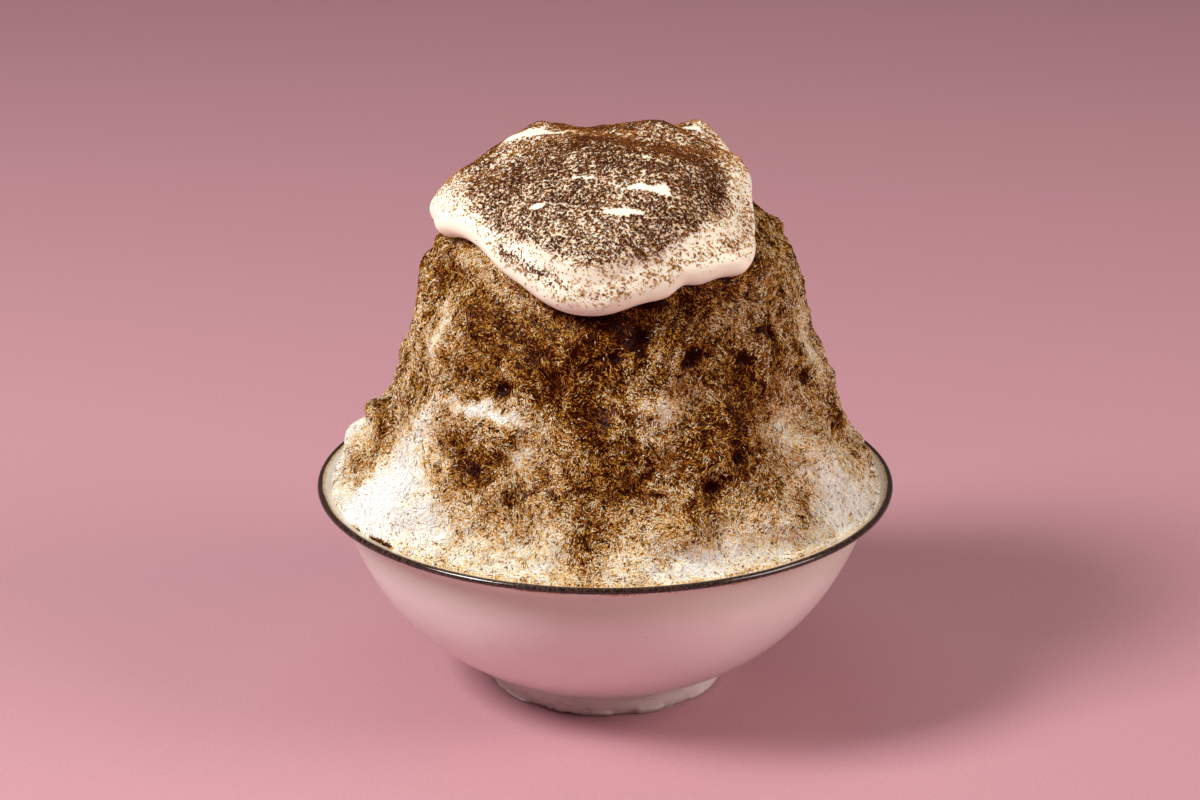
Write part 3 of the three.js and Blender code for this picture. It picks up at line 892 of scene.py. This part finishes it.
def iceFinish():
    # the level of syrup, unsettled by fine noise and flecks, picks the colour from clear through amber to
    # black-brown
    finish = Finish("packedIce")
    fine, finer = finish.noise(0.7, 2, 0.7), finish.noise(0.3, 1)
    syrupLevel = finish.value("syrup")
    mixed = finish.between(syrupLevel, 0.05, 0.35)
    flecks = finish.between(finish.noise(0.45, 1), 0.56, 0.63)
    flecks = flecks * finish.between(finish.noise(2.6, 2), 0.42, 0.6)
    # the last term sets the core darker than the shavings on it, most in brown ice: painted shade in the gaps
    # between them
    unsettled = (fine - 0.5) * 0.9 + (finer - 0.5) * 1.4 + flecks * 0.3 + 0.2
    level = syrupLevel + unsettled * (mixed * 0.8 + 0.2)
    # each kind's colour stands half a step above where the kind starts
    starts = [start for *_, start in shavings["kinds"].values()]
    places = [0.06] + [start + 0.07 for start in starts[1:]]
    colours = [colour for colour, *_ in shavings["kinds"].values()]
    colour = finish.ramp(level, list(zip(places, colours)))
    return finish.surface(Base_Color=colour, Roughness=0.4, Normal=finish.bump(fine + finer * 0.8, 0.2, 0.5),
                          Subsurface_Weight=0.2, Subsurface_Radius=(1, 0.8, 0.6), Subsurface_Scale=0.8 * mm,
                          IOR=1.31, Specular_IOR_Level=0.12)


def layDirection(point, azimuth):
    # which way the shavings lie, as an angle off downhill: a slowly turning field, and tresses combed one way
    angle = 150 * sineField(point, 31, 1, 6.4, 9)
    for at, halfWidth, height, halfHeight, combed in shavings["tresses"]:
        share = bell(turnGap(azimuth, at), halfWidth) * bell(point[..., 2] - height, halfHeight)
        angle = angle + share * (combed - angle)
    return angle


def strandField(point, along):
    # fine noise averaged along the way that the shavings lie, which draws it out into strands
    length, width, seed, _ = shavings["strands"]
    steps = np.linspace(-length / 2, length / 2, 7)
    total = sum(grainField(point + along * step, width, seed) for step in steps)
    return total / total.std()


def fleckedLevel(draw, distance, azimuth, point, along):
    # the syrup that each shaving holds: what is round it, give or take a little, and alike along a strand;
    # some are flecks with far more or less, and a few are glints that stay pale
    level = syrupAt(distance, azimuth, point)
    around = np.clip(level, 0, 1)
    count = len(level)
    less, lessInDark = shavings["tooPale"]
    paler = less + lessInDark * smoothStep(level, 0.75, 1.15)
    level = level - paler * smoothStep(level, 0.25, 0.45)
    spread = np.interp(around, shavings["spreadLevels"], shavings["spread"])
    level = level + spread * draw.standard_normal(count)
    strand = strandField(point, along)
    level = level + shavings["strands"][-1] * strand * smoothStep(around, 0.1, 0.45)
    more, less = shavings["fleckSteps"]
    inStrand = smoothStep(strand, 0.9, 1.6) * (1 - smoothStep(around, 0.25, 0.5))
    outside, inCluster, inWhiteStrand = shavings["clusterShares"]
    gathered = smoothStep(grainField(point, *shavings["clusters"]), -0.2, 0.4)
    likely = outside + inCluster * gathered + inWhiteStrand * inStrand
    # pale flecks are shavings with less syrup, and in brown ice partly painted glints
    dark, pale = (np.interp(around, shavings["fleckLevels"], shavings[key])
                  for key in ("darkFlecks", "paleFlecksAndGlints"))
    dark = draw.random(count) < dark * likely
    pale = draw.random(count) < pale
    size = draw.uniform(*shavings["fleckVaries"], count)
    least = np.maximum(around - shavings["furthestBelow"], np.minimum(around - 0.1, 0.2))
    level = np.maximum(level + dark * more * size - pale * less * size, least)
    glints, most = shavings["glints"]
    return np.where(draw.random(count) < glints, np.minimum(level, most), level)


def makeShavings():
    # strewn evenly over the open ice, and each sorted into a kind by the syrup where it lies
    draw = np.random.default_rng(shavings["seed"])
    rows = np.linspace(shavings["fromCrown"], sectionLength - shavings["shortOfLip"], 1500)
    distance, azimuth = strewn(draw, shavings["count"], rows)
    shown = distance > capReach(azimuth) - shavings["underCream"]
    distance, azimuth = distance[shown], azimuth[shown]
    count = len(distance)
    point, downhill, around, normal = surfaceFrame(icePoint, distance, azimuth)
    fibre = draw.random(count) < shavings["fibres"]
    # each lies near its neighbours' angle off downhill, lifted out of the surface and rolled a little
    shared = np.radians(layDirection(point, azimuth))
    strand = downhill * np.cos(shared)[:, None] + around * np.sin(shared)[:, None]
    stray = np.where(fibre, shavings["fibreSpread"], shavings["grainSpread"])
    angle = shared + np.radians(stray * draw.standard_normal(count))
    lift = np.radians(np.abs(draw.standard_normal(count)) * shavings["lift"])
    flat = downhill * np.cos(angle)[:, None] + around * np.sin(angle)[:, None]
    along = unit(flat * np.cos(lift)[:, None] + normal * np.sin(lift)[:, None])
    roll = np.radians(draw.uniform(-shavings["roll"], shavings["roll"], count))[:, None]
    across = unit(np.cross(normal, along))
    across = across * np.cos(roll) + np.cross(along, across) * np.sin(roll)
    keys = ("fibreLength", "grainLength", "fibreWidth", "grainWidth")
    sizes = {key: draw.uniform(*shavings[key], count) for key in keys}
    length = np.where(fibre, sizes["fibreLength"], sizes["grainLength"])
    width = np.where(fibre, sizes["fibreWidth"], sizes["grainWidth"])
    thickness = width * draw.uniform(*shavings["thickness"], count)
    height, varies = shavings["height"]
    centre = point + normal * (height + varies * draw.standard_normal(count))[:, None]
    centre = centre + along * (np.sin(lift) * length * 0.3)[:, None]
    kinds = shavings["kinds"]
    level = fleckedLevel(draw, distance, azimuth, point, strand)
    sort = np.digitize(level, [start for *_, start in kinds.values()]) - 1
    for index, (name, (colour, gloss, _)) in enumerate(kinds.items()):
        mine = sort == index
        parts = (values[mine] for values in (centre, along, across, length, width, thickness))
        piece = addSlivers(name, *parts)
        look = Finish(name).surface(Base_Color=colour, Roughness=0.18, IOR=1.31, Specular_IOR_Level=gloss,
                                    Subsurface_Weight=shavings["glow"] * colour[0] ** 2,
                                    Subsurface_Radius=(1, 0.8, 0.6), Subsurface_Scale=0.5 * mm)
        finishPiece(piece, look, "ice")
        print(name + ":", len(piece.data.polygons), "faces")


iceCore = makeIceCore()
finishPiece(iceCore, iceFinish(), "ice")
print("ice core:", len(iceCore.data.polygons), "faces")
makeShavings()

# the cream


def capRelief(distance, azimuth, reach):
    # how far the cream's top stands off its plain crowned form: waves, a bell for each knob and fold, and the
    # step along the front
    base = offMound(distance, azimuth, cap["gap"])
    relief = sineField(base, *cap["wave"]) + sum(sineField(base, *wave) for wave in cap["softWaves"])
    for at, halfWidth, place, halfLength, height in capFolds.values():
        around, outwards = bell(turnGap(azimuth, at), halfWidth), bell(distance - place, halfLength)
        relief = relief + height * around * outwards
    front = bell(turnGap(azimuth, capStep["azimuth"]), capStep["halfWidth"])
    return relief + capStep["height"] * front * smoothStep(reach - distance, *capStep["fromEdge"])


def capEdge(azimuth):
    # the reach, with a slight wander, and drawn in or let out at a few places
    reach = capReach(azimuth)
    wander = sineField(offMound(reach, azimuth, 0), *cap["scallop"])
    drawn = sum(more * bell(turnGap(azimuth, at), halfWidth) for at, halfWidth, more in cap["edges"])
    return reach + wander + drawn


def capTop(distance, azimuth):
    # the top of the cream at a distance from the crown: crowned by one less the square of the share of the
    # way out, and a quarter circle over its edge
    reach = capEdge(azimuth)
    radius = cap["edgeRadius"]
    share = np.clip(distance / (reach - radius), 0, 1)
    over = np.clip((distance - reach + radius) / radius, 0, 1)
    height = cap["gap"] + radius * (1 + np.sqrt(1 - over**2)) + cap["crown"] * (1 - share**2)
    topShare = (1 + np.sqrt(1 - over**2)) / 2
    return offMound(distance, azimuth, height + topShare * capRelief(distance, azimuth, reach))


def makeCream():
    # rows out over the top, round the thick edge, and back under it
    azimuth = np.linspace(0, 360, cap["segments"], endpoint=False)
    reach, radius = capEdge(azimuth), cap["edgeRadius"]
    share = 1 - (1 - np.linspace(0, 1, cap["topRows"])[1:, None]) ** cap["topCrowding"]
    onTop = share * (reach - radius)
    top = capTop(onTop, azimuth + 0 * share)
    turn = np.radians(np.linspace(90, -90, cap["edgeRows"]))[1:, None]
    onEdge = reach - radius * (1 - np.cos(turn))
    relief = (1 + np.sin(turn)) / 2 * capRelief(onEdge, azimuth + 0 * turn, reach)
    edge = offMound(onEdge, azimuth + 0 * turn, cap["gap"] + radius * (1 + np.sin(turn)) + relief)
    share = np.linspace(1, 0, cap["underRows"])[1:-1, None]
    under = offMound(share * (reach - radius), azimuth + 0 * share, cap["gap"])
    crown, base = capTop(np.zeros(1), np.zeros(1))[0], offMound(0, 0, cap["gap"])
    piece = closedRings("creamCap", crown, np.concatenate([top, edge, under]), base)
    topDust = dustAt(onTop, azimuth + 0 * onTop, top)
    edgeDust = dustAt(onEdge, azimuth + 0 * turn, edge) * smoothStep(np.sin(turn), 0.3, 1)
    bare = np.zeros(len(under) * cap["segments"] + 1)
    addValues(piece, "dust", np.concatenate([[cocoa["onCrown"]], topDust.ravel(), edgeDust.ravel(), bare]))
    return piece


cream = {
    # a warm white between two tones, and what the cocoa stains it to
    "whites": ((0.85, 0.80, 0.66), (0.87, 0.825, 0.68)),
    "stain": (0.53, 0.275, 0.08),
    "stained": (0.45, 1.0),  # from which thickness of dust, and at which it is fully stained
    "stainShare": 0.75,
}
cocoa = {
    "candidates": 300000,
    "seed": 19,
    "size": (0.23, 0.43),
    "stretch": (1.0, 1.6),
    "strewnTo": 60,  # how far from the crown grains are tried, and how far inside the edge they stop
    "insideEdge": 0.8,
    "onCrown": 0.8,
    "clouds": [(9, 0.12, 83), (3.6, 0.14, 89)],
    "clumps": [(0.55, 0.9, 91), (0.3, 0.5, 92)],  # size, strength and seed of what draws the grains together
    "halfCovered": 0.68,  # how thick the dust is where it covers about half of the cream
    "clumpEdge": (-0.1, 0.14),
    "strays": 0.04,  # the share of the candidates that are kept outside the clumps
    "darkness": (1.1, 0.25),  # how much darker thick dust is, and how much single grains vary
    # by azimuth: how far from the edge the thick dust starts and how wide its fading border is, how thickly
    # it lies, and how much lies thinly between it and the edge
    "azimuths": (0, 45, 65, 100, 130, 150, 185, 203, 221, 236, 249, 257, 266, 277, 290, 310, 328, 345, 360),
    "startsAt": (6, 6, 4, 3, 4, 6, 10, 7, 4, 6.2, 8.3, 9, 8.4, 7.3, 7.5, 12, 10, 8.5, 6),
    "border": (12, 10, 6, 5, 6, 8, 11, 7, 3, 3, 3, 3, 3.5, 4, 4, 5, 10, 13, 12),
    "thickShare": (0.76, 0.72, 0.74, 0.78, 0.76, 0.66, 0.64, 0.78, 0.86, 0.87, 0.85, 0.83, 0.82, 0.82, 0.86,
                   0.92, 0.94, 0.88, 0.78),
    "thinShare": (0.42, 0.34, 0.2, 0.2, 0.2, 0.1, 0.12, 0.13, 0.12, 0.09, 0.08, 0.09, 0.11, 0.13, 0.12,
                  0.12, 0.10, 0.26, 0.42),
    "edgeWander": (2.2, 0.7, 93),  # size, reach and seed of what makes these distances uneven
    # streaks on the shelf below: azimuth, half width in degrees, distance from the edge, half length and
    # thickness
    "streaks": [(237, 7, 3.4, 1.2, 0.80), (246, 6, 4.7, 1.1, 0.46), (252, 8, 5.2, 1.1, 0.38),
                (266, 14, 4.0, 1.7, 0.34), (290, 14, 5.2, 1.5, 0.38), (310, 12, 5.0, 1.6, 0.42),
                (328, 10, 4.6, 2.2, 0.34)],
    # bare places on the top: azimuth, distance from the crown, half width and half length in millimetres
    "bare": [(282, 30.5, 4.8, 0.7), (290, 32, 2.4, 1.6), (273.5, 37, 5.6, 0.8), (241, 37, 2.2, 0.8),
             (251, 26.5, 1.6, 0.45), (258, 26.5, 1.4, 0.4), (163, 20.0, 9.5, 2.9), (41, 25, 2.4, 0.8),
             (30, 38, 1.2, 2.4), (292, 20, 1.3, 0.7), (216, 26, 0.9, 0.7)],
    "bareRagged": (1.2, 0.25, 95),  # size, strength and seed of what frays them
    # colour, roughness, and how dark the dust is where each kind starts
    "kinds": {
        "goldenCocoa": ((0.45, 0.21, 0.045), 0.8, -9),
        "brownCocoa": ((0.21, 0.066, 0.013), 0.8, 0.0),
        "darkCocoa": ((0.064, 0.016, 0.005), 0.8, 0.42),
    },
}


def dustAt(distance, azimuth, point):
    # how thickly the cocoa lies, from 0 to 1: thick from a distance off the edge that changes round the cap,
    # thin before it, with streaks on the shelf below, broken up by clouds, and bare in some places
    size, wander, seed = cocoa["edgeWander"]
    fromEdge = capEdge(azimuth) - distance + wander * grainField(point, size, seed)
    start, border, full, thin = (np.interp(np.mod(azimuth, 360), cocoa["azimuths"], cocoa[key])
                                 for key in ("startsAt", "border", "thickShare", "thinShare"))
    thin = thin * smoothStep(fromEdge, 0.5, start)
    thick = smoothStep(fromEdge, start - border * 0.4, start + border * 0.6)
    level = thin + (full - thin) * thick
    for at, halfWidth, place, halfLength, strength in cocoa["streaks"]:
        level = level + strength * bell(turnGap(azimuth, at), halfWidth) * bell(fromEdge - place, halfLength)
    for size, strength, seed in cocoa["clouds"]:
        level = level + strength * grainField(point, size, seed) * thick
    turn = np.radians(azimuth)
    size, strength, seed = cocoa["bareRagged"]
    ragged = strength * grainField(point, size, seed)
    for at, place, halfWidth, halfLength in cocoa["bare"]:
        a = np.radians(at)
        x = distance * np.cos(turn) - place * np.cos(a)
        y = distance * np.sin(turn) - place * np.sin(a)
        level = level * smoothStep(np.hypot(x / halfWidth, y / halfLength) + ragged, 0.75, 1.2)
    return np.clip(level, 0, 1)


def creamFinish():
    # warm white, stained tan where the cocoa has soaked in
    finish = Finish("whippedCream")
    dust = finish.value("dust")
    uneven = dust + (finish.noise(0.4, 1) - 0.5) * 2.6
    soak = finish.between(uneven, *cream["stained"]) * cream["stainShare"]
    colour = finish.mix(finish.noise(8, 2), *cream["whites"])
    colour = finish.mix(soak, colour, cream["stain"])
    bump = finish.bump(finish.noise(2.6, 3), 0.1, 0.25)
    return finish.surface(Base_Color=colour, Roughness=0.42, Normal=bump, Subsurface_Weight=0.6,
                          Subsurface_Radius=(1, 0.62, 0.34), Subsurface_Scale=4 * mm)


def makeCocoa():
    # grains are kept where the dust is thick enough for them; the thicker it lies, the more of them are dark
    draw = np.random.default_rng(cocoa["seed"])
    distance, azimuth = strewn(draw, cocoa["candidates"], np.linspace(0, cocoa["strewnTo"], 900))
    point = capTop(distance, azimuth)
    level = dustAt(distance, azimuth, point)
    clump = sum(strength * grainField(point, size, seed) for size, strength, seed in cocoa["clumps"])
    inClump = clump + level - cocoa["halfCovered"]
    strays = cocoa["strays"]
    share = (strays + (1 - strays) * smoothStep(inClump, *cocoa["clumpEdge"])) * smoothStep(level, 0, 0.1)
    keep = draw.random(cocoa["candidates"]) < share
    keep = keep & (distance < capEdge(azimuth) - cocoa["insideEdge"])
    distance, azimuth, inClump, level = distance[keep], azimuth[keep], inClump[keep], level[keep]
    point, _, _, normal = surfaceFrame(capTop, distance, azimuth)
    count = len(point)
    along = unit(draw.standard_normal((count, 3)))
    across = unit(np.cross(along, draw.standard_normal((count, 3))))
    size = draw.uniform(*cocoa["size"], count)
    centre = point + normal * (size * 0.12)[:, None]  # their middles lie just above the cream
    inThick, varies = cocoa["darkness"]
    darkness = inClump + inThick * (level - cocoa["halfCovered"]) + varies * draw.standard_normal(count)
    sort = np.digitize(darkness, [start for *_, start in cocoa["kinds"].values()]) - 1
    for index, (name, (colour, roughness, _)) in enumerate(cocoa["kinds"].items()):
        mine = sort == index
        width = size[mine]
        length = width * draw.uniform(*cocoa["stretch"], mine.sum())
        piece = addSlivers(name, centre[mine], along[mine], across[mine], length, width, width)
        look = Finish(name).surface(Base_Color=colour, Roughness=roughness, Specular_IOR_Level=0.05)
        finishPiece(piece, look, None)
        print(name + ":", len(piece.data.polygons), "faces")


creamCap = makeCream()
finishPiece(creamCap, creamFinish(), "cream")
print("cream:", len(creamCap.data.polygons), "faces")
makeCocoa()
